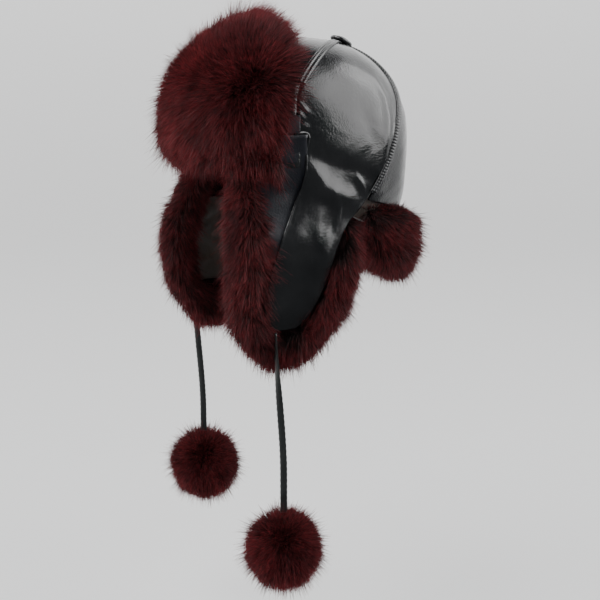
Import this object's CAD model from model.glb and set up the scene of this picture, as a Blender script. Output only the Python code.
"""The looks of a leather ushanka with deep burgundy fur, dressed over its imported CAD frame.

Metres, +Z up, worn upright: -Y is the wearer's front and +X the wearer's left. Each leather panel
is a finer, creased copy of its CAD wall. Each fur piece is a dark underfur with hair grown on it.
"""

import logging
import math
from collections.abc import Callable
from dataclasses import dataclass
from enum import Enum

import bmesh
import bpy
import numpy as np
from mathutils import Matrix, Vector
from mathutils.bvhtree import BVHTree
from mathutils.kdtree import KDTree

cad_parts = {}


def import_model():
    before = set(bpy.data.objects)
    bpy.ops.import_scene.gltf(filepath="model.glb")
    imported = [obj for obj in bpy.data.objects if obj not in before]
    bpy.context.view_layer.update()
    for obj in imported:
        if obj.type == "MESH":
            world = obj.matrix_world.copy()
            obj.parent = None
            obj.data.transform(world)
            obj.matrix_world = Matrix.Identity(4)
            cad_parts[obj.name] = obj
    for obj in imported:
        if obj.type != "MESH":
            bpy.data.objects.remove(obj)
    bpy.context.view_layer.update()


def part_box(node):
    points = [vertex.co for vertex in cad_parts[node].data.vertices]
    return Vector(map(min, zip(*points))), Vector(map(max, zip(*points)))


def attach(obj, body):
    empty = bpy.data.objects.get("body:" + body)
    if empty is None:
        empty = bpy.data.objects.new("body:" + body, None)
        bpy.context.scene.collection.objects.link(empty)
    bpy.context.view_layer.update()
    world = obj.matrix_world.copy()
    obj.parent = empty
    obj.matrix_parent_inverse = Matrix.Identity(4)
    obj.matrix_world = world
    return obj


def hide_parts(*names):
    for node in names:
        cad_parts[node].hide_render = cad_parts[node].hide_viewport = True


LOG = logging.getLogger("ushanka")
BODY = "root"


class Side(Enum):
    """A side of the wearer, as the sign of its x."""

    LEFT = 1
    RIGHT = -1

    @property
    def hand(self) -> str:
        """The word that ends this side's node names."""
        return self.name.lower()


class Slot(Enum):
    """The record's material slots."""

    LEATHER = "leather"
    BINDING = "binding"
    FUR = "fur"
    LINING = "lining"
    TIE = "tie"


# ---------------------------------------------------------------- the crown's form


def table_value(rows: tuple[tuple[float, float], ...], x: float) -> float:
    """Read a table of (x, y) rows on straight lines.

    Args:
        rows: The table, with x rising.
        x: Where to read it.

    Returns:
        The y at x, held at the ends.
    """
    return float(np.interp(x, [row[0] for row in rows], [row[1] for row in rows]))


@dataclass(frozen=True)
class Crown:
    """The crown's rounded form, with its button set back from the middle."""

    half_width: float = 0.086
    half_length: float = 0.1005
    rise: float = 0.101
    level: float = 0.005
    setback: float = 0.004
    fullness: float = 2.3
    tip_back: float = math.radians(26)

    @property
    def middle(self) -> Vector:
        """The middle of the form."""
        return Vector((0.0, self.setback, self.level))

    @property
    def sizes(self) -> tuple[float, float, float]:
        """Its half sizes along x, y and z."""
        return (self.half_width, self.half_length, self.rise)

    def normal(self, point: Vector) -> Vector:
        """Find the way outwards.

        Args:
            point: A place on the form.

        Returns:
            The unit vector out of the form there.
        """
        away = point - self.middle
        power = self.fullness - 1
        return Vector(
            math.copysign(abs(d / s) ** power / s, d) for d, s in zip(away, self.sizes)
        ).normalized()

    def point(self, turn: float, fall: float, lift: float = 0.0) -> Vector:
        """Find a place over the crown.

        Args:
            turn: Degrees round the button from the front.
            fall: Degrees down from the button.
            lift: Height over the leather.

        Returns:
            The place, in metres.
        """
        turn, fall = math.radians(turn), math.radians(fall)
        way = Matrix.Rotation(-self.tip_back, 3, "X") @ Vector(
            (math.sin(fall) * math.sin(turn), -math.sin(fall) * math.cos(turn), math.cos(fall))
        )
        share = sum(abs(d / s) ** self.fullness for d, s in zip(way, self.sizes))
        point = self.middle + way * share ** (-1 / self.fullness)
        return point + self.normal(point) * lift


@dataclass(frozen=True)
class Seam:
    """A seam from the button down, as rows of (fall, turn) in degrees."""

    rows: tuple[tuple[float, float], ...]
    start: float
    end: float

    def falls(self, crown: Crown, pitch: float) -> list[float]:
        """Step down the seam evenly.

        Args:
            crown: The form that carries the seam.
            pitch: Distance between steps.

        Returns:
            The falls of the steps, in degrees.
        """
        falls = [self.start]
        while falls[-1] < self.end:
            here = self.place(crown, Side.LEFT, falls[-1], 0, 0)
            ahead = self.place(crown, Side.LEFT, falls[-1] + 0.5, 0, 0)
            falls.append(falls[-1] + 0.5 * pitch / (ahead - here).length)
        return falls

    def place(self, crown: Crown, side: Side, fall: float, aside: float, lift: float) -> Vector:
        """Find a place on the seam.

        Args:
            crown: The form that carries the seam.
            side: Which of the two seams.
            fall: Degrees down from the button.
            aside: How far off the seam's middle, towards the rear.
            lift: Height over the leather.

        Returns:
            The place.
        """
        off = math.degrees(aside / (crown.half_width * math.sin(math.radians(fall))))
        point = crown.point(table_value(self.rows, fall) + off, fall, lift)
        return Vector((side.value * point.x, point.y, point.z))


CROWN = Crown()
FRONT_SEAM = Seam(((0, 51), (66, 51), (83, 60)), 5.5, 60.0)
REAR_SEAM = Seam(((0, 134), (30, 131), (55, 120), (75, 117), (100, 112)), 5.5, 93.0)


# ---------------------------------------------------------------- finishes


class Recipe:
    """A material's nodes while they are put together."""

    def __init__(self, name: str) -> None:
        """Start a material with one Principled shader."""
        self.material = bpy.data.materials.new(name)
        self.material.use_nodes = True
        self.nodes = self.material.node_tree.nodes
        self.shader = self.nodes["Principled BSDF"]
        self.place = self.nodes.new("ShaderNodeTexCoord")

    def link(self, source: bpy.types.NodeSocket, target: bpy.types.NodeSocket) -> None:
        """Join two sockets."""
        self.material.node_tree.links.new(source, target)

    def constants(self, **values: float | tuple[float, ...]) -> None:
        """Set the shader's own sockets, named with underscores for spaces."""
        for name, value in values.items():
            self.shader.inputs[name.replace("_", " ")].default_value = value

    def noise(
        self,
        scale: float,
        detail: float = 3.0,
        stretch: tuple[float, float, float] = (1, 1, 1),
        twist: float = 0.0,
    ) -> bpy.types.NodeSocket:
        """Add noise over the object's own place.

        Args:
            scale: Features to the metre.
            detail: Octaves.
            stretch: Scale along each axis, for streaks.
            twist: Distortion.

        Returns:
            The noise's value.
        """
        mapping = self.nodes.new("ShaderNodeMapping")
        mapping.inputs["Scale"].default_value = stretch
        self.link(self.place.outputs["Object"], mapping.inputs["Vector"])
        noise = self.nodes.new("ShaderNodeTexNoise")
        noise.inputs["Scale"].default_value = scale
        noise.inputs["Detail"].default_value = detail
        noise.inputs["Distortion"].default_value = twist
        self.link(mapping.outputs["Vector"], noise.inputs["Vector"])
        return noise.outputs["Fac"]

    def cells(self, scale: float, feature: str = "F1") -> bpy.types.NodeSocket:
        """Add Voronoi cells over the object's own place.

        Args:
            scale: Cells to the metre.
            feature: Which distance to give.

        Returns:
            The distance.
        """
        cells = self.nodes.new("ShaderNodeTexVoronoi")
        cells.feature = feature
        cells.inputs["Scale"].default_value = scale
        self.link(self.place.outputs["Object"], cells.inputs["Vector"])
        return cells.outputs["Distance"]

    def ramp(
        self, source: bpy.types.NodeSocket, stops: tuple[tuple[float, tuple[float, float, float]], ...]
    ) -> bpy.types.NodeSocket:
        """Turn a value into a colour.

        Args:
            source: The value.
            stops: (position, colour) rows.

        Returns:
            The colour.
        """
        ramp = self.nodes.new("ShaderNodeValToRGB")
        while len(ramp.color_ramp.elements) < len(stops):
            ramp.color_ramp.elements.new(0.5)
        for stop, (position, colour) in zip(ramp.color_ramp.elements, stops):
            stop.position = position
            stop.color = (*colour, 1.0)
        self.link(source, ramp.inputs["Fac"])
        return ramp.outputs["Color"]

    def span(self, source: bpy.types.NodeSocket, low: float, high: float) -> bpy.types.NodeSocket:
        """Bring a value from 0.3 to 0.7 into another range.

        Args:
            source: The value.
            low: What 0.3 becomes.
            high: What 0.7 becomes.

        Returns:
            The new value.
        """
        span = self.nodes.new("ShaderNodeMapRange")
        span.inputs["From Min"].default_value = 0.3
        span.inputs["From Max"].default_value = 0.7
        span.inputs["To Min"].default_value = low
        span.inputs["To Max"].default_value = high
        self.link(source, span.inputs["Value"])
        return span.outputs["Result"]

    def blend(
        self, how: str, a: bpy.types.NodeSocket, b: bpy.types.NodeSocket, share: float = 1.0
    ) -> bpy.types.NodeSocket:
        """Mix two colours.

        Args:
            how: Blender's blend type.
            a: The first colour.
            b: The second colour.
            share: How strongly b acts.

        Returns:
            The mixed colour.
        """
        mix = self.nodes.new("ShaderNodeMix")
        mix.data_type = "RGBA"
        mix.blend_type = how
        mix.inputs["Factor"].default_value = share
        self.link(a, mix.inputs[6])
        self.link(b, mix.inputs[7])
        return mix.outputs[2]

    def let_through(self, colour: bpy.types.NodeSocket, share: float) -> None:
        """Let light through a thin piece.

        Args:
            colour: The colour of the light that comes through.
            share: How much of the surface does so.
        """
        thin = self.nodes.new("ShaderNodeBsdfTranslucent")
        mix = self.nodes.new("ShaderNodeMixShader")
        mix.inputs[0].default_value = share
        self.link(colour, thin.inputs["Color"])
        self.link(self.shader.outputs["BSDF"], mix.inputs[1])
        self.link(thin.outputs["BSDF"], mix.inputs[2])
        self.link(mix.outputs["Shader"], self.nodes["Material Output"].inputs["Surface"])

    def relief(self, layers: tuple[tuple[bpy.types.NodeSocket, float], ...]) -> None:
        """Stack bumps on the shader.

        Args:
            layers: (height source, depth in metres) rows.
        """
        below = None
        for height, depth in layers:
            bump = self.nodes.new("ShaderNodeBump")
            bump.inputs["Distance"].default_value = depth
            self.link(height, bump.inputs["Height"])
            if below is not None:
                self.link(below, bump.inputs["Normal"])
            below = bump.outputs["Normal"]
        self.link(below, self.shader.inputs["Normal"])


@dataclass(frozen=True)
class LeatherFinish:
    """Glossy dyed sheepskin: pebbled grain, fine creases and softly uneven gloss."""

    name: str
    dark: tuple[float, float, float] = (0.0036, 0.0040, 0.0044)
    light: tuple[float, float, float] = (0.0075, 0.0080, 0.0085)
    gloss: tuple[float, float] = (0.14, 0.22)
    grain_depth: float = 0.00013
    crease_depth: float = 0.00030

    def material(self) -> bpy.types.Material:
        """Make the material."""
        recipe = Recipe(self.name)
        patches = recipe.noise(38, 4, twist=0.6)
        recipe.link(
            recipe.ramp(patches, ((0.3, self.dark), (0.7, self.light))),
            recipe.shader.inputs["Base Color"],
        )
        recipe.link(recipe.span(recipe.noise(75, 5), *self.gloss), recipe.shader.inputs["Roughness"])
        recipe.relief(
            (
                (recipe.noise(60, 2, twist=0.4), self.crease_depth),
                (recipe.noise(260, 3, twist=0.8), self.crease_depth * 0.30),
                (recipe.cells(760), self.grain_depth),
            )
        )
        recipe.constants(Specular_IOR_Level=0.5, Coat_Weight=0.3, Coat_Roughness=0.06)
        return recipe.material


@dataclass(frozen=True)
class HairFinish:
    """Dyed fox hair: near black at the root, burgundy at the tip."""

    name: str = "hair"
    root: tuple[float, float, float] = (0.0090, 0.0048, 0.0048)
    middle: tuple[float, float, float] = (0.0290, 0.0095, 0.0098)
    tip: tuple[float, float, float] = (0.1850, 0.0215, 0.0260)
    glow: float = 0.45

    def material(self) -> bpy.types.Material:
        """Make the material."""
        recipe = Recipe(self.name)
        split = recipe.nodes.new("ShaderNodeSeparateXYZ")
        recipe.link(recipe.place.outputs["UV"], split.inputs["Vector"])
        along = recipe.ramp(
            split.outputs["Y"], ((0.25, self.root), (0.68, self.middle), (1.0, self.tip))
        )
        one_by_one = recipe.ramp(split.outputs["X"], ((0.0, (0.70,) * 3), (1.0, (1.30,) * 3)))
        patches = recipe.ramp(
            recipe.noise(32, 2, twist=0.8), ((0.35, (0.70, 0.74, 0.75)), (0.65, (1.2, 1.1, 1.1)))
        )
        tinted = recipe.blend("MULTIPLY", along, one_by_one)
        colour = recipe.blend("MULTIPLY", tinted, patches)
        recipe.link(colour, recipe.shader.inputs["Base Color"])
        recipe.constants(Roughness=0.6, Specular_IOR_Level=0.30)
        recipe.let_through(colour, self.glow)
        return recipe.material


@dataclass(frozen=True)
class UnderfurFinish:
    """The dense wool at the roots of the hair."""

    name: str = "underfur"
    dark: tuple[float, float, float] = (0.0016, 0.0008, 0.0009)
    light: tuple[float, float, float] = (0.0075, 0.0014, 0.0020)

    def material(self) -> bpy.types.Material:
        """Make the material."""
        recipe = Recipe(self.name)
        wool = recipe.noise(900, 4, (1, 1, 0.2))
        recipe.link(
            recipe.ramp(wool, ((0.35, self.dark), (0.7, self.light))),
            recipe.shader.inputs["Base Color"],
        )
        recipe.relief(((wool, 0.002),))
        recipe.constants(Roughness=0.9, Specular_IOR_Level=0.1)
        return recipe.material


@dataclass(frozen=True)
class SatinFinish:
    """Dark brown satin with a fine lengthwise weave."""

    name: str = "satin"
    dark: tuple[float, float, float] = (0.020, 0.015, 0.012)
    light: tuple[float, float, float] = (0.050, 0.040, 0.033)

    def material(self) -> bpy.types.Material:
        """Make the material."""
        recipe = Recipe(self.name)
        threads = recipe.noise(2400, 2, (1, 1, 0.12))
        recipe.link(
            recipe.ramp(recipe.noise(60, 4), ((0.3, self.dark), (0.7, self.light))),
            recipe.shader.inputs["Base Color"],
        )
        recipe.relief(((recipe.noise(120, 3, (1, 1, 0.25)), 0.0015), (threads, 0.00012)))
        recipe.constants(
            Roughness=0.34, Specular_IOR_Level=0.6, Sheen_Weight=0.3, Sheen_Roughness=0.4
        )
        return recipe.material


@dataclass(frozen=True)
class ThreadFinish:
    """Waxed sewing thread."""

    name: str = "thread"
    colour: tuple[float, float, float] = (0.018, 0.019, 0.022)

    def material(self) -> bpy.types.Material:
        """Make the material."""
        recipe = Recipe(self.name)
        plies = recipe.noise(3000, 1)
        lighter = tuple(2.2 * c for c in self.colour)
        recipe.link(
            recipe.ramp(plies, ((0.3, self.colour), (0.7, lighter))),
            recipe.shader.inputs["Base Color"],
        )
        recipe.relief(((plies, 0.0001),))
        recipe.constants(Roughness=0.42)
        return recipe.material


@dataclass(frozen=True)
class PaperFinish:
    """Plain pale backdrop paper, lit evenly from behind."""

    name: str = "paper"
    colour: tuple[float, float, float] = (0.30, 0.302, 0.304)
    low_glow: float = 0.56
    high_glow: float = 1.25
    low: float = -0.5
    high: float = 1.2

    def material(self) -> bpy.types.Material:
        """Make the material."""
        recipe = Recipe(self.name)
        close = tuple(0.985 * c for c in self.colour)
        recipe.link(
            recipe.ramp(recipe.noise(4, 2), ((0.3, close), (0.7, self.colour))),
            recipe.shader.inputs["Base Color"],
        )
        split = recipe.nodes.new("ShaderNodeSeparateXYZ")
        recipe.link(recipe.place.outputs["Object"], split.inputs["Vector"])
        level = recipe.nodes.new("ShaderNodeMapRange")
        level.inputs["From Min"].default_value = self.low
        level.inputs["From Max"].default_value = self.high
        recipe.link(split.outputs["Z"], level.inputs["Value"])
        glow = recipe.ramp(
            level.outputs["Result"], ((0.0, (self.low_glow,) * 3), (1.0, (self.high_glow,) * 3))
        )
        recipe.link(glow, recipe.shader.inputs["Emission Color"])
        recipe.constants(Roughness=0.85, Specular_IOR_Level=0.0, Emission_Strength=1.0)
        return recipe.material


# ---------------------------------------------------------------- making meshes


def frame_copy(node: str) -> bmesh.types.BMesh:
    """Copy a CAD node's mesh, welded.

    Args:
        node: The node's name.

    Returns:
        A bmesh of triangles with their doubles merged.
    """
    bm = bmesh.new()
    bm.from_mesh(bpy.data.objects[node].data)
    bmesh.ops.remove_doubles(bm, verts=bm.verts, dist=0.00002)
    bmesh.ops.recalc_face_normals(bm, faces=bm.faces)
    bm.normal_update()
    return bm


def to_quads(bm: bmesh.types.BMesh) -> None:
    """Join pairs of triangles that lie nearly flat into quads."""
    bmesh.ops.join_triangles(
        bm,
        faces=bm.faces,
        angle_face_threshold=math.radians(50),
        angle_shape_threshold=math.radians(60),
        cmp_materials=True,
    )


def crease_rims(bm: bmesh.types.BMesh, angle: float = 50) -> None:
    """Hold a wall's sharp rim when it is subdivided.

    Args:
        bm: The wall.
        angle: The least angle of a sharp edge, in degrees.
    """
    layer = bm.edges.layers.float.get("crease_edge") or bm.edges.layers.float.new("crease_edge")
    for edge in bm.edges:
        if len(edge.link_faces) == 2 and edge.calc_face_angle() > math.radians(angle):
            edge[layer] = 0.85


def to_mesh(name: str, bm: bmesh.types.BMesh) -> bpy.types.Mesh:
    """Turn a bmesh into a mesh and free it."""
    mesh = bpy.data.meshes.new(name)
    bm.to_mesh(mesh)
    bm.free()
    return mesh


def subdivided(mesh: bpy.types.Mesh, levels: int) -> bpy.types.Mesh:
    """Subdivide a mesh smoothly.

    Args:
        mesh: The coarse mesh, which is removed.
        levels: How many times.

    Returns:
        The fine mesh.
    """
    holder = bpy.data.objects.new("holder", mesh)
    bpy.context.scene.collection.objects.link(holder)
    finer = holder.modifiers.new("finer", "SUBSURF")
    finer.levels = finer.render_levels = levels
    graph = bpy.context.evaluated_depsgraph_get()
    fine = bpy.data.meshes.new_from_object(holder.evaluated_get(graph))
    bpy.data.objects.remove(holder)
    fine.name = mesh.name
    bpy.data.meshes.remove(mesh)
    return fine


def places(mesh: bpy.types.Mesh) -> np.ndarray:
    """The vertices' places, a row each."""
    values = np.empty(len(mesh.vertices) * 3)
    mesh.vertices.foreach_get("co", values)
    return values.reshape(-1, 3)


def normals(mesh: bpy.types.Mesh) -> np.ndarray:
    """The vertices' normals, a row each."""
    values = np.empty(len(mesh.vertices) * 3, np.float32)
    mesh.vertex_normals.foreach_get("vector", values)
    return values.reshape(-1, 3).astype(float)


def move_to(mesh: bpy.types.Mesh, co: np.ndarray) -> None:
    """Put the vertices at new places."""
    mesh.vertices.foreach_set("co", co.ravel())
    mesh.update()


def unit(rows: np.ndarray) -> np.ndarray:
    """Each row brought to length 1."""
    return rows / np.maximum(np.linalg.norm(rows, axis=1, keepdims=True), 1e-9)


def smooth_rise(values: np.ndarray) -> np.ndarray:
    """A smooth step from 0 at 0 to 1 at 1."""
    t = np.clip(values, 0.0, 1.0)
    return t * t * (3 - 2 * t)


def piece(
    name: str, mesh: bpy.types.Mesh, material: bpy.types.Material, slot: Slot, *stands_for: str
) -> bpy.types.Object:
    """Make a piece of the hat.

    Args:
        name: The piece's name.
        mesh: Its mesh, in its place.
        material: Its finish.
        slot: The record's slot of that finish.
        stands_for: CAD nodes that it replaces.

    Returns:
        The object, which rides on the hat's body.
    """
    made = bpy.data.objects.new(name, mesh)
    mesh.materials.clear()
    mesh.materials.append(material)
    bpy.context.scene.collection.objects.link(made)
    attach(made, BODY)
    if stands_for:
        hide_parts(*stands_for)
    return made


def tube(name: str, line: list[Vector], radius: float) -> bpy.types.Mesh:
    """Make a round tube along a line.

    Args:
        name: The mesh's name.
        line: The points that it follows.
        radius: Its radius.

    Returns:
        The tube, closed at both ends.
    """
    curve = bpy.data.curves.new(name, "CURVE")
    curve.dimensions = "3D"
    spline = curve.splines.new("NURBS")
    spline.points.add(len(line) - 1)
    spline.points.foreach_set("co", [value for p in line for value in (*p, 1.0)])
    spline.use_endpoint_u = True
    spline.order_u = 3
    curve.resolution_u = 3
    curve.bevel_depth = radius
    curve.bevel_resolution = 3
    curve.use_fill_caps = True
    holder = bpy.data.objects.new("holder", curve)
    bpy.context.scene.collection.objects.link(holder)
    graph = bpy.context.evaluated_depsgraph_get()
    mesh = bpy.data.meshes.new_from_object(holder.evaluated_get(graph))
    mesh.name = name
    bpy.data.objects.remove(holder)
    bm = bmesh.new()
    bm.from_mesh(mesh)
    bmesh.ops.remove_doubles(bm, verts=bm.verts, dist=0.00002)
    bmesh.ops.recalc_face_normals(bm, faces=bm.faces)
    bm.to_mesh(mesh)
    bm.free()
    mesh.shade_smooth()
    return mesh


def stitches(line: list[Vector], outward, length: float, width: float) -> bmesh.types.BMesh:
    """Lay a stitch at each point of a line.

    Args:
        line: Middles of the stitches, in order.
        outward: A function that gives the surface's normal at a point.
        length: A stitch's length along the line.
        width: Its width.

    Returns:
        The stitches in one bmesh.
    """
    bm = bmesh.new()
    for i, point in enumerate(line):
        ahead = line[min(i + 1, len(line) - 1)] - line[max(i - 1, 0)]
        along = ahead.normalized()
        up = outward(point)
        across = up.cross(along).normalized()
        turn = Matrix((along, across, up)).transposed().to_4x4()
        size = Matrix.Diagonal((length / 2, width / 2, width * 0.42, 1.0))
        bmesh.ops.create_uvsphere(
            bm, u_segments=8, v_segments=5, radius=1.0, matrix=Matrix.Translation(point) @ turn @ size
        )
    return bm


# ---------------------------------------------------------------- leather


@dataclass(frozen=True)
class Crease:
    """A fold drawn on a side panel: its line in (y, z) millimetres, its width and its height."""

    line: tuple[tuple[float, float], ...]
    width: float
    height: float

    def lift(self, y: np.ndarray, z: np.ndarray) -> np.ndarray:
        """Raise the leather along the fold.

        Args:
            y: Places along y.
            z: Places along z.

        Returns:
            The rise at each place.
        """
        line = np.array(self.line) / 1000
        near = np.full(len(y), np.inf)
        share = np.zeros(len(y))
        spots = np.concatenate(([0.0], np.cumsum(np.linalg.norm(np.diff(line, axis=0), axis=1))))
        for i, (a, b) in enumerate(zip(line, line[1:])):
            way = b - a
            t = np.clip(((y - a[0]) * way[0] + (z - a[1]) * way[1]) / (way @ way), 0, 1)
            far = np.hypot(y - a[0] - t * way[0], z - a[1] - t * way[1])
            closer = far < near
            share = np.where(closer, (spots[i] + t * (spots[i + 1] - spots[i])) / spots[-1], share)
            near = np.minimum(near, far)
        fade = np.sqrt(np.sin(np.pi * np.clip(share * 0.9 + 0.05, 0, 1)))
        return self.height * fade * np.exp(-((near / self.width) ** 2))


SIDE_CREASES = (
    Crease(((-27, 19), (-11, 13), (4, 8), (20, 2), (36, -5)), 0.0066, -0.0018),
    Crease(((-32, 9), (-24, 1), (-14, -7), (-3, -12), (8, -18), (17, -25)), 0.0072, 0.0028),
    Crease(((18, 0), (25, -12)), 0.0022, 0.0011),
    Crease(((11, -2), (20, -16)), 0.0026, -0.0004),
    Crease(((26, 50), (33, 34), (40, 18)), 0.0060, -0.0007),
    Crease(((-34, 54), (-26, 46)), 0.0013, 0.0009),
    Crease(((-35, 45), (-25, 52)), 0.0012, 0.0008),
    Crease(((-31, 41), (-24, 40)), 0.0013, 0.0009),
    Crease(((-28, 57), (-22, 50)), 0.0014, 0.0008),
    Crease(((-35, 51), (-30, 42)), 0.0012, -0.0008),
    Crease(((49, 72), (53, 58), (53, 44), (49, 26), (45, 12)), 0.0040, 0.0012),
    Crease(((-5, -12), (0, -26), (-3, -42)), 0.0030, 0.0013),
    Crease(((-12, -22), (-8, -38), (-14, -58)), 0.0060, -0.0008),
    Crease(((-4, -44), (-14, -64), (-24, -90)), 0.0062, 0.0013),
    Crease(((-60, -84), (-56, -100)), 0.0030, 0.0006),
)


@dataclass
class LeatherPanel:
    """A panel of the crown, as a finer and creased copy of its CAD wall."""

    node: str
    finish: bpy.types.Material
    slot: Slot = Slot.LEATHER
    levels: int = 3
    creases: tuple[Crease, ...] = ()
    ripple: float = 0.0005
    settled: Callable[[np.ndarray], np.ndarray] | None = None

    def build(self) -> bpy.types.Mesh:
        """Make the panel's mesh.

        Returns:
            The subdivided and creased wall.
        """
        bm = frame_copy(self.node)
        to_quads(bm)
        crease_rims(bm)
        mesh = subdivided(to_mesh(self.node, bm), self.levels)
        co, up = places(mesh), normals(mesh)
        away = co - np.array(CROWN.middle)
        outward = np.where((up * away).sum(axis=1, keepdims=True) < 0, -up, up)
        lift = np.zeros(len(co))
        for crease in self.creases:
            lift += crease.lift(co[:, 1], co[:, 2])
        lift += self.ripple * self.waves(co)
        moved = co + outward * lift[:, None]
        move_to(mesh, self.settled(moved) if self.settled else moved)
        mesh.shade_smooth()
        return mesh

    def waves(self, co: np.ndarray) -> np.ndarray:
        """Give the soft unevenness of worn leather.

        Args:
            co: Places on the panel.

        Returns:
            A value from -1 to 1 at each place.
        """
        y, z = co[:, 1] * 1000, co[:, 2] * 1000
        x = np.abs(co[:, 0]) * 1000
        slow = np.sin(y / 9 + 1.3 * np.sin(z / 14)) * np.sin(z / 8 + np.sin(y / 11) + x / 16)
        fine = np.sin(y / 4.1 + 2 * np.sin(z / 6)) * np.sin(z / 3.7 + x / 7)
        return 0.7 * slow + 0.3 * fine

    def dress(self) -> bpy.types.Object:
        """Put the panel in the scene."""
        return piece(f"{self.node}_leather", self.build(), self.finish, self.slot, self.node)


def front_rim_shift(co: np.ndarray) -> np.ndarray:
    """Draw the leather's front edge back at the temple, as the photograph shows it.

    Args:
        co: Places on the side panel or on the facing under it.

    Returns:
        The places, moved rearward by up to 6.5 mm along the rim and not at all away from it.
    """
    level, rim, shift = (np.array(column) / 1000 for column in zip(*FRONT_RIM))
    y, z = co[:, 1], co[:, 2]
    edge = np.interp(z, level, rim)
    fade = np.where(y > edge, (y - edge) / 0.030, (edge - y) / 0.018)
    move = np.interp(z, level, shift) * (1 - smooth_rise(fade))
    out = co.copy()
    out[:, 1] += move
    out[:, 0] += np.sign(co[:, 0]) * 0.1 * move
    return out


def facing_top(co: np.ndarray) -> np.ndarray:
    """Run the facing's top up over the foot of the visor's end, then settle it with the rim."""
    level, rim, _ = (np.array(column) / 1000 for column in zip(*FRONT_RIM))
    up = smooth_rise((co[:, 2] + 0.010) / 0.0176)
    out = co.copy()
    out[:, 2] += 0.0265 * up
    out[:, 0] += np.sign(co[:, 0]) * 0.0022 * up
    edge = np.interp(co[:, 2], level, rim)
    out[:, 1] += 0.0058 * smooth_rise((co[:, 1] - edge + 0.018) / 0.012)
    return front_rim_shift(out)


def tucked_end(co: np.ndarray) -> np.ndarray:
    """Tuck the foot of the visor's end in behind the facing's top."""
    out = co.copy()
    out[:, 0] -= np.sign(co[:, 0]) * 0.0034 * smooth_rise((0.037 - co[:, 2]) / 0.006)
    return out


def slimmer_back(co: np.ndarray) -> np.ndarray:
    """Draw the crown's lowest rear part in towards the neck."""
    out = co.copy()
    out[:, 1] -= 0.0045 * smooth_rise((0.050 - co[:, 2]) / 0.05) * smooth_rise((co[:, 1] - 0.066) / 0.03)
    return out


def deeper_lining(co: np.ndarray) -> np.ndarray:
    """Run the lining's rim on down behind the corners between the nape's roll and the flaps."""
    out = co.copy()
    down = smooth_rise((0.014 - co[:, 2]) / 0.020) * smooth_rise((co[:, 1] + 0.004) / 0.014)
    out[:, 2] -= 0.024 * down * smooth_rise((0.060 - co[:, 1]) / 0.018)
    return out


FRONT_RIM = (
    (-68.0, -63.0, 0.0),
    (-51.0, -54.0, 3.5),
    (-33.0, -52.0, 6.0),
    (-20.0, -42.0, 6.5),
    (-10.0, -37.0, 6.5),
    (0.0, -33.0, 6.5),
    (11.0, -31.0, 5.0),
    (30.0, -31.0, 0.0),
)


class Skin:
    """The leather's outer face on one side, to lay trims on."""

    step = 0.003
    fall = 0.0014

    def __init__(self, side: Side, *meshes: bpy.types.Mesh) -> None:
        """Take the faces of some finished meshes of a side."""
        self.side = side
        bm = bmesh.new()
        for mesh in meshes:
            bm.from_mesh(mesh)
        self.tree = BVHTree.FromBMesh(bm)
        bm.free()

    def at(self, y: float, z: float) -> Vector | None:
        """Find the leather at a place seen from the side, or None beside it."""
        sign = self.side.value
        return self.tree.ray_cast(Vector((sign * 0.2, y, z)), Vector((-sign, 0, 0)))[0]

    def rim(self, y: float, z: float, angle: float) -> Vector:
        """Find the leather's rim, from a place on it and a way in the side's plane.

        Args:
            y: Place along y.
            z: Level.
            angle: The way, in degrees from +y towards +z.

        Returns:
            The last place of the leather on that way.
        """
        way = math.cos(math.radians(angle)), math.sin(math.radians(angle))
        near, far, found = 0.0, 0.09, self.at(y, z)
        for _ in range(12):
            middle = (near + far) / 2
            here = self.at(y + way[0] * middle, z + way[1] * middle)
            back = self.at(y + way[0] * (middle - self.step), z + way[1] * (middle - self.step))
            level = here and back and self.side.value * (back.x - here.x) < self.fall
            near, far, found = (middle, far, here) if level else (near, middle, found)
        return found


# ---------------------------------------------------------------- fur


class Comb:
    """The way that hair is combed over a piece of fur."""

    def reach(self, roots: np.ndarray, up: np.ndarray) -> np.ndarray:
        """Give the hair's share of its full length at each root."""
        return np.ones(len(roots))

    def flow(self, roots: np.ndarray, up: np.ndarray) -> np.ndarray:
        """Give the way that the hair leans.

        Args:
            roots: Places of the roots.
            up: The skin's normals there.

        Returns:
            A vector for each root, of length 1 or less.
        """
        raise NotImplementedError


@dataclass(frozen=True)
class VisorComb(Comb):
    """Hair that stands up at the visor's top and hangs at its hem."""

    low: float = 0.010
    high: float = 0.100

    def reach(self, roots: np.ndarray, up: np.ndarray) -> np.ndarray:
        """Keep the hair short in front of the brow, and long at the top, the hem and the ends."""
        height = (roots[:, 2] - self.low) / (self.high - self.low)
        ends = smooth_rise((roots[:, 1] + 0.065) / 0.030)
        hem = smooth_rise((0.022 - roots[:, 2]) / 0.012)
        return 0.74 + 0.33 * smooth_rise(height * 1.2) + 0.45 * ends + 0.20 * hem

    def flow(self, roots: np.ndarray, up: np.ndarray) -> np.ndarray:
        """Lean down at the hem, up at the top and back at the ends."""
        height = (roots[:, 2] - self.low) / (self.high - self.low)
        out = np.zeros_like(roots)
        out[:, 2] = -1.9 + 2.4 * smooth_rise(height)
        out[:, 1] = 1.3 * smooth_rise((roots[:, 1] + 0.060) / 0.030)
        x, y, z = (roots[:, k] * 1000 for k in range(3))
        sway = np.sin(x / 17 + 1.7 * np.sin(z / 23) + y / 19)
        swell = np.sin(z / 14 + 1.3 * np.sin(y / 15 + x / 21))
        return out + 0.38 * np.stack((sway, 0.6 * sway * swell, swell), axis=1)


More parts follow.
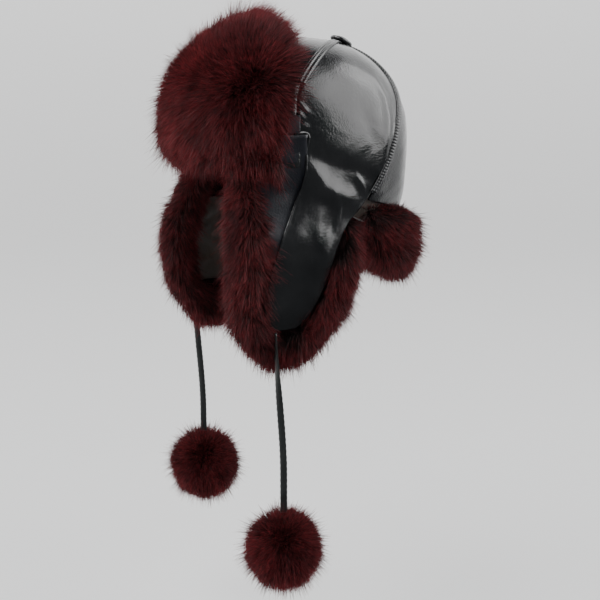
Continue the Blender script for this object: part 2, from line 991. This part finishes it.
@dataclass(frozen=True)
class FallComb(Comb):
    """Hair that hangs, and spreads away from a level line through the middle."""

    middle_y: float
    spread: float = 0.5
    fall: float = 0.6
    top_reach: float = 1.0

    def reach(self, roots: np.ndarray, up: np.ndarray) -> np.ndarray:
        """Keep the hair on the top at its own share of the length."""
        return 1 - (1 - self.top_reach) * smooth_rise((up[:, 2] - 0.3) / 0.5)

    def flow(self, roots: np.ndarray, up: np.ndarray) -> np.ndarray:
        """Lean down and away from the middle."""
        out = np.zeros_like(roots)
        out[:, 1] = self.spread * np.clip((roots[:, 1] - self.middle_y) / 0.03, -1, 1)
        out[:, 2] = -self.fall
        return out


@dataclass(frozen=True)
class FlapComb(Comb):
    """Hair that parts along the middle of each roll, and closes over the leather's edges."""

    side: Side
    front_roll: float = -0.077
    rear_roll: tuple[tuple[float, float], ...] = ((-0.120, -0.020), (-0.085, 0.0), (-0.045, 0.010))
    tip_level: float = -0.117

    def flow(self, roots: np.ndarray, up: np.ndarray) -> np.ndarray:
        """Lean down, away from the middle of the nearer roll."""
        y, z = roots[:, 1].copy(), roots[:, 2]
        if self.side is Side.RIGHT:
            y -= 0.009 * smooth_rise((-z / 0.147 - 0.2) / 0.6)
        rear = np.interp(z, [row[0] for row in self.rear_roll], [row[1] for row in self.rear_roll])
        middle = np.where(y < (self.front_roll + rear) / 2, self.front_roll, rear)
        part = np.clip((y - middle) / 0.018, -1, 1)
        part = np.where(part > 0, part * 1.1, part * 0.5)
        tip = smooth_rise((self.tip_level + 0.006 - z) / 0.012)
        out = np.zeros_like(roots)
        out[:, 1] = part * (1 - tip) + tip * np.clip((y + 0.05) / 0.04, -1, 1) * 0.2
        out[:, 2] = -0.85 - 0.3 * tip
        out[:, 1] += 0.22 * np.sin(z * 1000 / 9 + 2 * np.sin(y * 1000 / 13))
        return out

    def reach(self, roots: np.ndarray, up: np.ndarray) -> np.ndarray:
        """Make the hair long where it closes over the facing, and short before the face."""
        y, z = roots[:, 1], roots[:, 2]
        over = smooth_rise((y - self.front_roll) / 0.012) * smooth_rise((z + 0.055) / 0.03)
        over *= smooth_rise((-0.036 - y) / 0.008)
        before = smooth_rise((self.front_roll - y) / 0.010)
        return 1 - 0.12 * over - 0.10 * before


@dataclass
class FurCoat:
    """A piece of fur: a dark underfur in the form of its CAD node, and hair grown over it."""

    node: str
    comb: Comb
    hair: bpy.types.Material
    wool: bpy.types.Material
    strands: int = 24000
    length: float = 0.019
    width: float = 0.00046
    sink: float = 0.003
    stand: float = 0.85
    lean: float = 0.55
    jitter: float = 0.30
    clump: float = 0.33
    tuft: int = 26
    seed: int = 1
    layers: int = 1
    longest: float = 1.5
    all_over: bool = False
    above: float = 1.0
    below: float = -1.0
    settled: Callable[[np.ndarray], np.ndarray] | None = None

    def base(self) -> tuple[bpy.types.Mesh, np.ndarray]:
        """Make the skin that the hair grows on.

        Returns:
            The smooth mesh without the CAD locks, and whether each of its faces is furry.
        """
        bm = frame_copy(self.node)
        tips = []
        for vert in bm.verts:
            ring = [edge.other_vert(vert) for edge in vert.link_edges]
            if len(ring) in (3, 4):
                middle = sum((v.co for v in ring), Vector()) / len(ring)
                if (vert.co - middle).length > 0.0034:
                    tips.append(vert)
        for vert in tips:
            for face in vert.link_faces:
                face.material_index = 1
        bmesh.ops.dissolve_verts(bm, verts=tips)
        to_quads(bm)
        mesh = subdivided(to_mesh(self.node, bm), 2)
        furry = np.empty(len(mesh.polygons), int)
        mesh.polygons.foreach_get("material_index", furry)
        mesh.polygons.foreach_set("material_index", np.zeros(len(furry), int))
        level = np.array([face.center.z for face in mesh.polygons])
        return mesh, (furry > 0) | (level > self.above) | (level < self.below) | self.all_over

    def sunk(self, mesh: bpy.types.Mesh, furry: np.ndarray) -> None:
        """Lower the furry faces, to make room for the hair.

        Args:
            mesh: The skin.
            furry: Whether each face is furry.
        """
        depth = np.zeros(len(mesh.vertices))
        for face in mesh.polygons:
            if furry[face.index]:
                depth[list(face.vertices)] = self.sink
        up = normals(mesh)
        if self.above < 0:
            depth *= 1 - 0.9 * smooth_rise((up[:, 2] - 0.2) / 0.5)
        co = places(mesh) - up * depth[:, None]
        move_to(mesh, self.settled(co) if self.settled else co)

    def roots(
        self, mesh: bpy.types.Mesh, furry: np.ndarray, draw: np.random.Generator
    ) -> tuple[np.ndarray, np.ndarray]:
        """Scatter roots evenly over the furry faces.

        Args:
            mesh: The skin.
            furry: Whether each face is furry.
            draw: The source of chance.

        Returns:
            The roots' places and the skin's normals there.
        """
        mesh.calc_loop_triangles()
        corners = np.empty(len(mesh.loop_triangles) * 3, int)
        faces = np.empty(len(mesh.loop_triangles), int)
        mesh.loop_triangles.foreach_get("vertices", corners)
        mesh.loop_triangles.foreach_get("polygon_index", faces)
        corners = corners.reshape(-1, 3)[furry[faces]]
        co, up = places(mesh), normals(mesh)
        a, b, c = (co[corners[:, k]] for k in range(3))
        area = np.linalg.norm(np.cross(b - a, c - a), axis=1)
        chosen = draw.choice(len(corners), self.strands, p=area / area.sum())
        r, s = np.sqrt(draw.random(self.strands)), draw.random(self.strands)
        weights = np.stack((1 - r, r * (1 - s), r * s), axis=1)[:, :, None]
        place = (co[corners[chosen]] * weights).sum(axis=1)
        return place, unit((up[corners[chosen]] * weights).sum(axis=1))

    @staticmethod
    def unevenness(roots: np.ndarray) -> np.ndarray:
        """Give a slow wave from -1 to 1 over the fur, for an uneven outline."""
        x, y, z = (roots[:, k] * 1000 for k in range(3))
        return np.sin(x / 5.1 + 2 * np.sin(z / 9)) * np.sin(y / 6.3 + 2 * np.sin(x / 12)) * np.cos(z / 4.7)

    def grow(self, mesh: bpy.types.Mesh, furry: np.ndarray, layer: int) -> bpy.types.Mesh:
        """Grow one layer of the hair.

        Args:
            mesh: The skin.
            furry: Whether each face is furry.
            layer: Which layer, from 0.

        Returns:
            Tapered strands in tufts, with a UV map of (shade, share of the length).
        """
        draw = np.random.default_rng(100 * layer + self.seed)
        root, up = self.roots(mesh, furry, draw)
        count = len(root)
        flow = self.comb.flow(root, up)
        flow -= up * (flow * up).sum(axis=1, keepdims=True)
        away = unit(up * self.stand + flow * self.lean + draw.normal(0, self.jitter, (count, 3)))
        guard = draw.random(count) > 0.88
        length = self.length * (0.62 + 0.40 * draw.random(count) + 0.75 * guard * draw.random(count))
        length *= self.comb.reach(root, up) * (1 + 0.16 * self.unevenness(root))
        length = np.minimum(length, self.length * self.longest)
        bend = flow * 0.55 + draw.normal(0, 0.14, (count, 3))
        bend[:, 2] -= 0.12

        def along(t: float) -> np.ndarray:
            """The strands' places at a share of their length."""
            return root + (away * t + bend * t * t * 0.5) * length[:, None]

        parents = draw.choice(count, max(count // self.tuft, 1), replace=False)
        tree = KDTree(len(parents))
        for i, parent in enumerate(parents):
            tree.insert(root[parent], i)
        tree.balance()
        parent = parents[[tree.find(place)[1] for place in root]]
        tip = along(1.0)
        pull = (tip[parent] - tip) * (self.clump * draw.uniform(0.4, 1.2, count))[:, None]
        aside = unit(np.cross(away, draw.normal(0, 1, (count, 3)))) * self.width / 2
        aside[guard] *= 0.85
        steps = ((0.0, 0.0), (0.34, 1.0), (0.70, 0.70), (1.0, 0.0))
        rows = []
        for t, wide in steps:
            middle = along(t) + pull * t**1.6
            rows += [middle - aside * wide, middle + aside * wide] if wide else [middle]
        verts = np.stack(rows, axis=1)
        pattern = np.array(((0, 2, 1), (1, 2, 4), (1, 4, 3), (3, 4, 5)))
        faces = (np.arange(count)[:, None, None] * 6 + pattern).reshape(-1)
        shade = np.repeat(draw.random(count), 6)
        share = np.tile([t for t, wide in steps for _ in range(2 if wide else 1)], count)
        hair = bpy.data.meshes.new(f"{self.node}_hair_{layer}")
        hair.vertices.add(count * 6)
        hair.vertices.foreach_set("co", verts.ravel())
        hair.loops.add(len(faces))
        hair.loops.foreach_set("vertex_index", faces)
        hair.polygons.add(len(faces) // 3)
        hair.polygons.foreach_set("loop_start", np.arange(0, len(faces), 3))
        hair.update(calc_edges=True)
        uv = hair.uv_layers.new(name="strand")
        uv.data.foreach_set("uv", np.stack((shade[faces], share[faces]), axis=1).ravel())
        hair.shade_smooth()
        return hair

    def dress(self) -> list[bpy.types.Object]:
        """Put the underfur and the hair in the scene.

        Returns:
            The pieces, the underfur first.
        """
        skin, furry = self.base()
        self.sunk(skin, furry)
        skin.shade_smooth()
        made = [piece(f"{self.node}_wool", skin, self.wool, Slot.FUR, self.node)]
        for layer in range(self.layers):
            strands = self.grow(skin, furry, layer)
            made.append(piece(strands.name, strands, self.hair, Slot.FUR, self.node))
        return made


# ---------------------------------------------------------------- sub-assemblies


@dataclass(frozen=True)
class Finishes:
    """Every material of the hat."""

    leather: bpy.types.Material
    binding: bpy.types.Material
    hair: bpy.types.Material
    wool: bpy.types.Material
    satin: bpy.types.Material
    thread: bpy.types.Material
    strip: bpy.types.Material

    @classmethod
    def make(cls) -> "Finishes":
        """Make the materials."""
        return cls(
            leather=LeatherFinish("shiny_leather").material(),
            binding=LeatherFinish(
                "binding_leather", (0.0025, 0.0032, 0.0055), (0.005, 0.006, 0.010), (0.34, 0.5)
            ).material(),
            hair=HairFinish().material(),
            wool=UnderfurFinish().material(),
            satin=SatinFinish().material(),
            thread=ThreadFinish().material(),
            strip=LeatherFinish(
                "strip_leather", (0.005, 0.006, 0.006), (0.012, 0.014, 0.014), (0.36, 0.5), 0.0002, 0.0004
            ).material(),
        )


@dataclass
class Ties:
    """The flat leather ties, each with a fur ball on its end."""

    finishes: Finishes
    width: float = 0.0062
    thickness: float = 0.0021
    top: float = -0.11848
    place_y: tuple[float, float] = (-0.0552, -0.0463)
    drift: float = 0.0065
    flat: float = 62.0
    starts: tuple[float, float] = (-24.0, 14.0)
    ends: tuple[float, float] = (-0.2711, -0.2611)
    stations: int = 60

    def route(self, side: Side) -> list[Vector]:
        """Follow the CAD tie from the flap down to the ball.

        Args:
            side: Which tie.

        Returns:
            Its centreline, from the top down.
        """
        low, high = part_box(f"tie_{side.hand}")
        x = (low.x + high.x) / 2
        start_y, end_y = (high.y - self.width / 2 - self.drift, high.y - self.width / 2)
        points = []
        for k in range(self.stations + 1):
            level = high.z + (low.z - high.z) * k / self.stations
            fallen = float(smooth_rise(np.array((high.z - level) / 0.12)))
            points.append(Vector((x, start_y + (end_y - start_y) * fallen, level)))
        return points

    def build(self, side: Side) -> bpy.types.Mesh:
        """Make a tie's strip, twisted on its way down, with a pinked edge.

        Args:
            side: Which tie.

        Returns:
            The strip's mesh.
        """
        line = self.route(side)
        bm = bmesh.new()
        bmesh.ops.create_circle(bm, cap_ends=True, segments=8, radius=1.0)
        ring = list(bm.verts)
        rest = [vert.co.copy() for vert in ring]
        for k, point in enumerate(line):
            if k:
                grown = bmesh.ops.extrude_edge_only(bm, edges=[e for e in bm.edges if self.open(e, ring)])
                ring = self.matched(ring, grown["geom"])
            turn = Matrix.Rotation(math.radians(self.angle(side, k)), 3, "Z")
            tooth = 1.0 if k % 2 else 0.90
            for vert, corner in zip(ring, rest):
                flat = Vector((corner.x * self.width / 2 * tooth, corner.y * self.thickness / 2, 0))
                vert.co = point + turn @ flat
        bmesh.ops.holes_fill(bm, edges=[e for e in bm.edges if e.is_boundary])
        bmesh.ops.recalc_face_normals(bm, faces=bm.faces)
        mesh = to_mesh(f"tie_strip_{side.hand}", bm)
        mesh.shade_smooth()
        return mesh

    def angle(self, side: Side, station: int) -> float:
        """Give the strip's turn about the vertical at a station, in degrees."""
        start = self.starts[0 if side is Side.LEFT else 1]
        eased = float(smooth_rise(np.array(station / (0.55 * self.stations))))
        return start + (self.flat - start) * eased + 9 * math.sin(station / 8)

    @staticmethod
    def open(edge: bmesh.types.BMEdge, ring: list[bmesh.types.BMVert]) -> bool:
        """Whether an edge is in the ring that grows."""
        return edge.verts[0] in ring and edge.verts[1] in ring

    @staticmethod
    def matched(ring: list[bmesh.types.BMVert], grown: list) -> list[bmesh.types.BMVert]:
        """Give the new ring in the old ring's order.

        Args:
            ring: The old ring.
            grown: What the extrusion made.

        Returns:
            The new ring's vertices.
        """
        new = {v for v in grown if isinstance(v, bmesh.types.BMVert)}
        return [next(e.other_vert(v) for e in v.link_edges if e.other_vert(v) in new) for v in ring]

    def dress(self) -> None:
        for side in Side:
            coat = FurCoat(
                f"ball_{side.hand}",
                FallComb(-0.05, 0.0, 0.35),
                self.finishes.hair,
                self.finishes.wool,
                strands=26000,
                all_over=True,
                length=0.0190,
                sink=0.0110,
                stand=1.0,
                lean=0.3,
                jitter=0.26,
                clump=0.35,
                seed=5 + side.value,
            )
            ball = coat.dress()
            strip = piece(
                f"tie_strip_{side.hand}", self.build(side), self.finishes.strip, Slot.TIE, f"tie_{side.hand}"
            )


@dataclass
class SeamStrip:
    """A raised strip over a seam: leather in one or two humps, gathered along its stitches."""

    seam: Seam
    side: Side
    half_width: float
    height: float
    humps: int
    gather: float
    pitch: float
    across: int = 14
    steps: int = 5

    def build(self, name: str) -> bpy.types.Mesh:
        """Make the strip, with its edges sunk in the leather.

        Args:
            name: The mesh's name.

        Returns:
            The strip, as a closed wall.
        """
        falls = self.seam.falls(CROWN, self.pitch / self.steps)
        bm = bmesh.new()
        bmesh.ops.create_grid(bm, x_segments=self.across, y_segments=len(falls) - 1, size=0.5)
        for vert in bm.verts:
            u = 2 * vert.co.x
            k = round((vert.co.y + 0.5) * (len(falls) - 1))
            narrow = 0.72 + 0.28 * min(1.0, k / len(falls) * 3)
            hump = abs(math.cos(math.pi * u / 2)) if self.humps == 1 else abs(math.sin(math.pi * u))
            rise = self.height * hump**0.6 - 0.0007 * abs(u) ** 6
            rise += self.gather * math.sin(2 * math.pi * k / self.steps) * (1 - abs(2 * abs(u) - 1))
            vert.co = self.seam.place(
                CROWN, self.side, falls[k], u * self.half_width * narrow, rise + 0.0002
            )
        bmesh.ops.recalc_face_normals(bm, faces=bm.faces)
        middle = bm.faces[len(bm.faces) // 2] if bm.faces.ensure_lookup_table() else None
        outward = next(iter(bm.faces)) if middle is None else middle
        if outward.normal.dot(outward.calc_center_median() - CROWN.middle) < 0:
            bmesh.ops.reverse_faces(bm, faces=bm.faces)
        bmesh.ops.solidify(bm, geom=bm.faces, thickness=0.0009)
        mesh = to_mesh(name, bm)
        mesh.shade_smooth()
        return mesh

    def sew(self, name: str, asides: tuple[float, ...], lift: float, size: tuple[float, float]) -> bpy.types.Mesh:
        """Sew rows of stitches along the strip.

        Args:
            name: The mesh's name.
            asides: The rows' places, as shares of the half width.
            lift: Their height over the crown.
            size: A stitch's length and width.

        Returns:
            The stitches.
        """
        bm = bmesh.new()
        falls = self.seam.falls(CROWN, self.pitch)
        for aside in asides:
            line = []
            for k, fall in enumerate(falls):
                narrow = 0.72 + 0.28 * min(1.0, k / len(falls) * 3)
                off = aside * self.half_width * narrow
                line.append(self.seam.place(CROWN, self.side, fall, off, lift))
            row = to_mesh("row", stitches(line, CROWN.normal, *size))
            bm.from_mesh(row)
            bpy.data.meshes.remove(row)
        mesh = to_mesh(name, bm)
        mesh.shade_smooth()
        return mesh


@dataclass
class CrownShell:
    """The leather crown: panels, seam strips, stitching and the button."""

    finishes: Finishes

    def dress(self) -> None:
        """Put the crown in the scene, the side panels apart."""
        leather, thread = self.finishes.leather, self.finishes.thread
        LeatherPanel("front_panel", leather, levels=2, ripple=0.0003).dress()
        LeatherPanel("back_panel", leather, ripple=0.0004, settled=slimmer_back).dress()
        LeatherPanel("top_button", leather, levels=2, ripple=0.0).dress()
        for side in Side:
            front = SeamStrip(FRONT_SEAM, side, 0.0030, 0.0007, 2, 0.00010, 0.0024)
            rear = SeamStrip(REAR_SEAM, side, 0.0030, 0.0011, 1, 0.00042, 0.0026)
            for strip, word, rows, size in (
                (front, "front", (-0.90, 0.0, 0.90), (0.0016, 0.00042)),
                (rear, "rear", (-0.5, 0.5), (0.0013, 0.00075)),
            ):
                hand = side.hand
                piece(
                    f"{word}_strip_{hand}",
                    strip.build(f"{word}_strip_{hand}"),
                    leather,
                    Slot.LEATHER,
                    f"{word}_welt_{hand}",
                )
                sewn = strip.sew(f"{word}_stitching_{hand}", rows, 0.0010 if word == "rear" else 0.0006, size)
                piece(f"{word}_stitching_{hand}", sewn, thread, Slot.LEATHER)


@dataclass
class EarFlap:
    """A side panel with its ear flap: turned edge, facing, lining and fur."""

    side: Side
    finishes: Finishes
    edge_radius: float = 0.0012
    edge_lift: float = -0.0004
    edge_top: float = 0.014
    top_middle: float = -0.005
    tip_middle: tuple[float, float] = (-0.046, -0.088)
    hook: tuple[tuple[float, float], ...] = (
        (-37.0, 34.5),
        (-33.0, 35.5),
        (-28.0, 35.5),
        (-24.5, 34.5),
        (-23.6, 31.5),
        (-25.0, 27.0),
        (-27.0, 21.0),
    )

    def fur_back(self, co: np.ndarray) -> np.ndarray:
        """Draw the front roll back from the face and over the facing, most at the far flap's top."""
        back = 0.006 + 0.002 * smooth_rise((co[:, 2] + 0.105) / 0.04)
        if self.side is Side.RIGHT:
            back += 0.012 * smooth_rise((co[:, 2] + 0.075) / 0.05)
        out = co.copy()
        out[:, 1] += back * (1 - smooth_rise((co[:, 1] + 0.064) / 0.030))
        return out

    def edge(self, panel: bpy.types.Mesh, end: bpy.types.Mesh) -> bpy.types.Mesh:
        """Make the turned edge, from its hook by the visor down to the flap's tip.

        Args:
            panel: The finished side panel.
            end: The finished end of the visor.

        Returns:
            A thin roll along the panel's free rim.
        """
        whole, skin = Skin(self.side, panel, end), Skin(self.side, panel)
        line = [whole.at(y / 1000, z / 1000) for y, z in self.hook]
        for k in range(28):
            share = k / 27
            line.append(skin.rim(*self.spine(share), 180.0))
        for k in range(1, 7):
            line.append(skin.rim(*self.spine(1.0), 180.0 + 9.0 * k))
        out = Vector((self.side.value * self.edge_lift, 0, 0))
        found = [p + out for p in line if p]
        return tube(f"flap_edge_{self.side.hand}", found, self.edge_radius)

    def spine(self, share: float) -> tuple[float, float]:
        """Give a place (y, z) on the flap's middle, at a share of the way down it."""
        level = self.edge_top + (self.tip_middle[1] - self.edge_top) * share
        y = self.top_middle + (self.tip_middle[0] - self.top_middle) * share
        if self.side is Side.RIGHT:
            y += 0.009 * float(smooth_rise(np.array((-level / 0.147 - 0.2) / 0.6)))
        return y, level

    def dress(self) -> None:
        """Put the flap in the scene."""
        hand, finishes = self.side.hand, self.finishes
        panel = LeatherPanel(
            f"side_panel_{hand}",
            finishes.leather,
            creases=SIDE_CREASES,
            ripple=0.0003,
            settled=front_rim_shift,
        ).dress()
        end = LeatherPanel(
            f"visor_end_{hand}", finishes.binding, Slot.LEATHER, ripple=0.0009, settled=tucked_end
        ).dress()
        edge = self.edge(panel.data, end.data)
        piece(f"flap_edge_{hand}", edge, finishes.leather, Slot.LEATHER)
        LeatherPanel(
            f"flap_facing_{hand}",
            finishes.binding,
            Slot.BINDING,
            levels=2,
            ripple=0.0007,
            settled=facing_top,
        ).dress()
        LeatherPanel(
            f"flap_lining_{hand}", finishes.satin, Slot.LINING, levels=3, ripple=0.0020
        ).dress()
        FurCoat(
            f"flap_fur_{hand}",
            FlapComb(self.side),
            finishes.hair,
            finishes.wool,
            strands=48000,
            length=0.0165,
            sink=0.0042,
            lean=0.85,
            above=-0.004,
            below=-0.121,
            settled=self.fur_back,
            seed=20 + self.side.value,
        ).dress()


@dataclass
class Visor:
    """The turned-up fur visor."""

    finishes: Finishes

    def slimmer(self, co: np.ndarray) -> np.ndarray:
        """Draw the visor's lower half and its hem back towards the brow."""
        back = 0.005 * smooth_rise((0.092 - co[:, 2]) / 0.03)
        back += 0.004 * smooth_rise((0.032 - co[:, 2]) / 0.02)
        out = co.copy()
        out[:, 1] += back * smooth_rise((-0.068 - co[:, 1]) / 0.03)
        return out

    def dress(self) -> None:
        """Put the visor's fur in the scene."""
        FurCoat(
            "visor_fur",
            VisorComb(),
            self.finishes.hair,
            self.finishes.wool,
            strands=46000,
            layers=2,
            length=0.0195,
            sink=0.0085,
            lean=0.8,
            jitter=0.22,
            below=0.0098,
            settled=self.slimmer,
            seed=3,
        ).dress()


@dataclass
class Nape:
    """The fur roll under the back panel."""

    finishes: Finishes
    rise: tuple[tuple[float, float], ...] = ((18, 14), (31, 12), (43, 4), (55, 0), (110, 0))

    def raised(self, co: np.ndarray) -> np.ndarray:
        """Raise the roll's top to the back panel's rim, most at its two ends."""
        along, height = (np.array(column) / 1000 for column in zip(*self.rise))
        out = co.copy()
        out[:, 2] += np.interp(co[:, 1], along, height) * smooth_rise((co[:, 2] + 0.080) / 0.035)
        out[:, 1] -= 0.004 * smooth_rise((co[:, 1] - 0.070) / 0.03)
        out[:, 1] -= 0.006 * smooth_rise((0.046 - co[:, 1]) / 0.02)
        return out

    def dress(self) -> None:
        """Put the nape's fur in the scene."""
        FurCoat(
            "nape_fur",
            FallComb(0.0, 0.2, 0.5, 0.5),
            self.finishes.hair,
            self.finishes.wool,
            strands=46000,
            length=0.0165,
            sink=0.0065,
            lean=0.7,
            above=-0.052,
            settled=self.raised,
            seed=7,
        ).dress()


@dataclass
class CrownLining:
    """The satin inside the crown."""

    finishes: Finishes

    def dress(self) -> None:
        """Put the lining in the scene."""
        LeatherPanel(
            "crown_lining",
            self.finishes.satin,
            Slot.LINING,
            levels=2,
            ripple=0.0009,
            settled=deeper_lining,
        ).dress()


# ---------------------------------------------------------------- studio


@dataclass(frozen=True)
class Lamp:
    """A soft box."""

    name: str
    place: tuple[float, float, float]
    size: tuple[float, float]
    power: float
    aim: tuple[float, float, float] = (0.0, 0.0, -0.02)

    def build(self) -> None:
        """Hang the lamp and turn it to the hat."""
        light = bpy.data.lights.new(self.name, "AREA")
        light.shape = "RECTANGLE"
        light.size, light.size_y = self.size
        light.energy = self.power
        lamp = bpy.data.objects.new(self.name, light)
        lamp.location = self.place
        lamp.rotation_euler = (Vector(self.aim) - Vector(self.place)).to_track_quat("-Z", "Y").to_euler()
        bpy.context.scene.collection.objects.link(lamp)


@dataclass
class Studio:
    """Camera, lamps, sky and backdrop."""

    azimuth: float = 62.0
    elevation: float = 14.0
    distance: float = 1.05
    lens: float = 72.4
    target: tuple[float, float, float] = (0.0047, 0.0088, -0.1186)
    floor_level: float = -0.44
    wall_distance: float = 4.0
    wall_height: float = 5.0
    wall_bend: float = 2.0
    lamps: tuple[Lamp, ...] = (
        Lamp("window", (0.67, 1.10, 0.83), (1.66, 1.65), 34.0, (0.0, 0.0, 0.06)),
        Lamp("overhead", (0.0, -1.10, 1.85), (1.4, 1.4), 60.0),
        Lamp("fill", (-0.94, -2.20, 0.45), (1.5, 1.5), 56.0),
    )

    def camera(self) -> None:
        """Set the camera at the photograph's angle."""
        a, e = math.radians(self.azimuth), math.radians(self.elevation)
        back = Vector((math.sin(a) * math.cos(e), -math.cos(a) * math.cos(e), math.sin(e)))
        data = bpy.data.cameras.new("camera")
        data.lens, data.sensor_width = self.lens, 36.0
        camera = bpy.data.objects.new("camera", data)
        camera.location = Vector(self.target) + back * self.distance
        camera.rotation_euler = (-back).to_track_quat("-Z", "Y").to_euler()
        bpy.context.scene.collection.objects.link(camera)
        bpy.context.scene.camera = camera

    def sky(self) -> None:
        """Light the room evenly and dimly."""
        world = bpy.data.worlds.new("room")
        world.use_nodes = True
        background = world.node_tree.nodes["Background"]
        background.inputs["Color"].default_value = (0.94, 0.97, 1.0, 1.0)
        background.inputs["Strength"].default_value = 0.10
        bpy.context.scene.world = world

    def backdrop(self) -> None:
        """Roll pale paper out under the hat and up all round.

        The half on the camera's side stays out of reflections, as a dark room would.
        """
        flat = self.wall_distance - self.wall_bend
        corners = [(flat * share, 0.0) for share in (0.0, 0.45, 0.8, 0.95, 1.0)]
        for k in range(1, 13):
            turn = math.pi / 2 * k / 12
            out = self.wall_distance - self.wall_bend * (1 - math.sin(turn))
            corners.append((out, self.wall_bend * (1 - math.cos(turn))))
        corners.append((self.wall_distance, self.wall_height))
        paper = PaperFinish().material()
        towards = math.radians(self.azimuth - 90)
        halves = (("floor_near", towards - 1.75, 3.5, False), ("floor_far", towards + 1.75, 2 * math.pi - 3.5, True))
        for name, start, sweep, reflected in halves:
            bm = bmesh.new()
            rim = [
                bm.verts.new((out * math.cos(start), out * math.sin(start), self.floor_level + up))
                for out, up in corners
            ]
            edges = [bm.edges.new(pair) for pair in zip(rim, rim[1:])]
            bmesh.ops.spin(bm, geom=rim + edges, axis=(0, 0, 1), cent=(0, 0, 0), angle=sweep, steps=40)
            bmesh.ops.remove_doubles(bm, verts=bm.verts, dist=0.0001)
            bmesh.ops.recalc_face_normals(bm, faces=bm.faces)
            bm.faces.ensure_lookup_table()
            if bm.faces[0].normal.z < 0:
                bmesh.ops.reverse_faces(bm, faces=bm.faces)
            floor = bpy.data.objects.new(name, to_mesh(name, bm))
            floor.data.shade_smooth()
            floor.data.materials.append(paper)
            floor.visible_glossy = reflected
            bpy.context.scene.collection.objects.link(floor)

    def dress(self) -> None:
        """Put the studio in the scene, the camera apart."""
        for lamp in self.lamps:
            lamp.build()
        self.sky()
        self.backdrop()


def main() -> None:
    """Build the hat's looks and the studio."""
    logging.basicConfig(level=logging.INFO, format="%(message)s")
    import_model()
    studio = Studio()
    studio.camera()
    finishes = Finishes.make()
    assemblies = [
        Ties(finishes),
        CrownShell(finishes),
        CrownLining(finishes),
        EarFlap(Side.LEFT, finishes),
        EarFlap(Side.RIGHT, finishes),
        Visor(finishes),
        Nape(finishes),
        studio,
    ]
    for assembly in assemblies:
        assembly.dress()
        LOG.info("%s: done", type(assembly).__name__)


if __name__ == "__main__":
    main()
